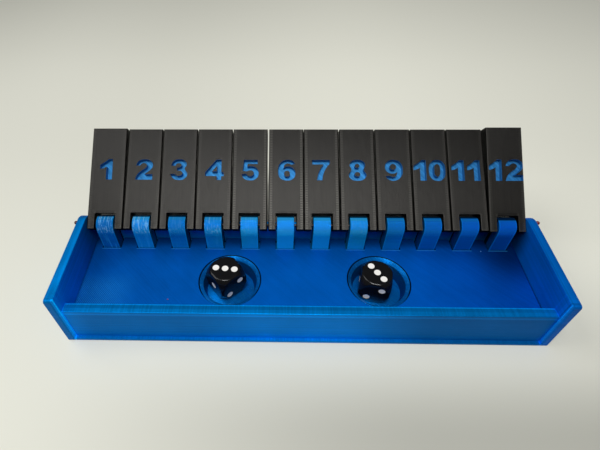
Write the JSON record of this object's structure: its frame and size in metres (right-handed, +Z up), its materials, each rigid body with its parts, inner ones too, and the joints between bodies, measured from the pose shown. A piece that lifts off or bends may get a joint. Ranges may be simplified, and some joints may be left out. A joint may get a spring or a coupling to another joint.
{
  "type": "shut the box game",
  "caption": "Shut the box game: a tray with number tiles hinged side by side on one rod, a drop-in rolling floor with two round dice cups, and two dice.",
  "frame": {"origin": "centre of the tray's underside, on the surface that it stands on", "axes": "+X along the row of tiles towards the highest number, +Y from the low front wall towards the hinge, +Z up"},
  "size_m": [0.2534, 0.101, 0.0652],
  "materials": {
    "tray_blue": "printed plastic with fine layer lines and a soft sheen",
    "post_blue": "printed plastic, glossier, with stepped layers on the round tops",
    "tile_black": "printed plastic, black with fine lengthwise lines; blue sunk numbers",
    "rod_red": "dark red filament with melted ends",
    "die_black": "gloss, with white pips"
  },
  "bodies": {
    "tray": {"tray_shell": "tray_blue", "floor_plate": "tray_blue", "dice_cup_left": "tray_blue", "dice_cup_right": "tray_blue", "hinge_rail": "post_blue", "hinge_pin": "rod_red"},
    "tile_01": {"tile_01": "tile_black"},
    "tile_02": {"tile_02": "tile_black"},
    "tile_03": {"tile_03": "tile_black"},
    "tile_04": {"tile_04": "tile_black"},
    "tile_05": {"tile_05": "tile_black"},
    "tile_06": {"tile_06": "tile_black"},
    "tile_07": {"tile_07": "tile_black"},
    "tile_08": {"tile_08": "tile_black"},
    "tile_09": {"tile_09": "tile_black"},
    "tile_10": {"tile_10": "tile_black"},
    "tile_11": {"tile_11": "tile_black"},
    "tile_12": {"tile_12": "tile_black"},
    "die_left": {"die_left": "die_black"},
    "die_right": {"die_right": "die_black"}
  },
  "joints": [
    {"name": "tile_01_hinge", "type": "hinge", "parent": "tray", "child": "tile_01", "pos_m": [-0.10725, 0.0245, 0.02905], "axis": [-1, 0, 0], "range_deg": [-145.3, 1.7]},
    {"name": "tile_02_hinge", "type": "hinge", "parent": "tray", "child": "tile_02", "pos_m": [-0.08775, 0.0245, 0.02905], "axis": [-1, 0, 0], "range_deg": [-147, 0]},
    {"name": "tile_03_hinge", "type": "hinge", "parent": "tray", "child": "tile_03", "pos_m": [-0.06825, 0.0245, 0.02905], "axis": [-1, 0, 0], "range_deg": [-147, 0]},
    {"name": "tile_04_hinge", "type": "hinge", "parent": "tray", "child": "tile_04", "pos_m": [-0.04875, 0.0245, 0.02905], "axis": [-1, 0, 0], "range_deg": [-147, 0]},
    {"name": "tile_05_hinge", "type": "hinge", "parent": "tray", "child": "tile_05", "pos_m": [-0.02925, 0.0245, 0.02905], "axis": [-1, 0, 0], "range_deg": [-147, 0]},
    {"name": "tile_06_hinge", "type": "hinge", "parent": "tray", "child": "tile_06", "pos_m": [-0.00975, 0.0245, 0.02905], "axis": [-1, 0, 0], "range_deg": [-147, 0]},
    {"name": "tile_07_hinge", "type": "hinge", "parent": "tray", "child": "tile_07", "pos_m": [0.00975, 0.0245, 0.02905], "axis": [-1, 0, 0], "range_deg": [-147, 0]},
    {"name": "tile_08_hinge", "type": "hinge", "parent": "tray", "child": "tile_08", "pos_m": [0.02925, 0.0245, 0.02905], "axis": [-1, 0, 0], "range_deg": [-147, 0]},
    {"name": "tile_09_hinge", "type": "hinge", "parent": "tray", "child": "tile_09", "pos_m": [0.04875, 0.0245, 0.02905], "axis": [-1, 0, 0], "range_deg": [-147, 0]},
    {"name": "tile_10_hinge", "type": "hinge", "parent": "tray", "child": "tile_10", "pos_m": [0.06825, 0.0245, 0.02905], "axis": [-1, 0, 0], "range_deg": [-147, 0]},
    {"name": "tile_11_hinge", "type": "hinge", "parent": "tray", "child": "tile_11", "pos_m": [0.08775, 0.0245, 0.02905], "axis": [-1, 0, 0], "range_deg": [-147, 0]},
    {"name": "tile_12_hinge", "type": "hinge", "parent": "tray", "child": "tile_12", "pos_m": [0.10725, 0.0245, 0.02905], "axis": [-1, 0, 0], "range_deg": [-142.2, 4.8]},
    {"name": "die_left_lift", "type": "slide", "parent": "tray", "child": "die_left", "axis": [0, 0, 1], "range_m": [0, 0.05]},
    {"name": "die_right_lift", "type": "slide", "parent": "tray", "child": "die_right", "axis": [0, 0, 1], "range_m": [0, 0.05]}
  ]
}
